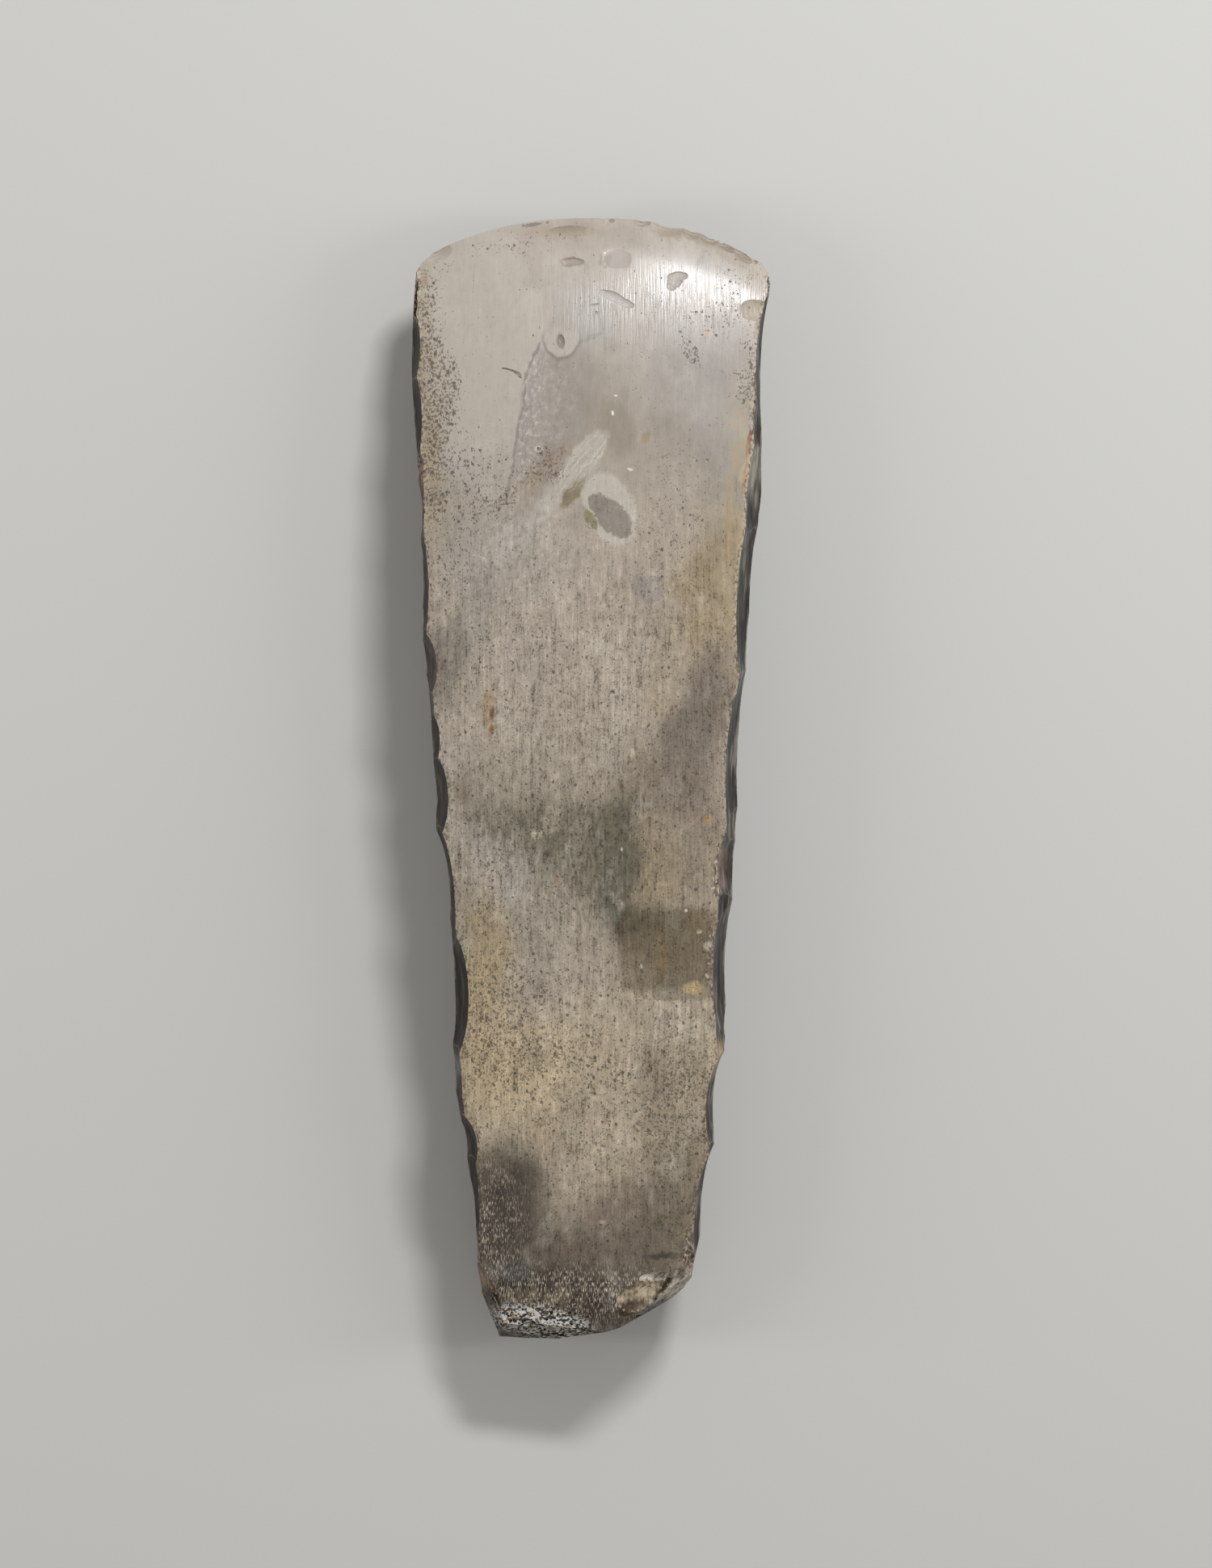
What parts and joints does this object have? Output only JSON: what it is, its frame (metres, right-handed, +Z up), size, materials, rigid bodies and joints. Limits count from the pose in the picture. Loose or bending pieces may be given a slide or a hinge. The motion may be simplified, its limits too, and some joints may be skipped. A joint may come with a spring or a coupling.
{
  "type": "thin-butted flint axe blade",
  "caption": "Long ground flint axe blade with knapped narrow sides, a curved sharp cutting edge and a thin broken butt, lying flat.",
  "frame": {"origin": "centre of the blade's bounding box in plan, on the plane of the flat of its back face, on which it lies", "axes": "+Y along the blade towards the cutting edge, +X across its width to the right in the front view, +Z up out of the ground front face"},
  "size_m": [0.0802, 0.25, 0.034],
  "materials": {
    "flint": "ground flint, satin, with striations, small pits and dark glossy flake scars"
  },
  "bodies": {
    "root": {"flint_blade": "flint"}
  },
  "joints": []
}
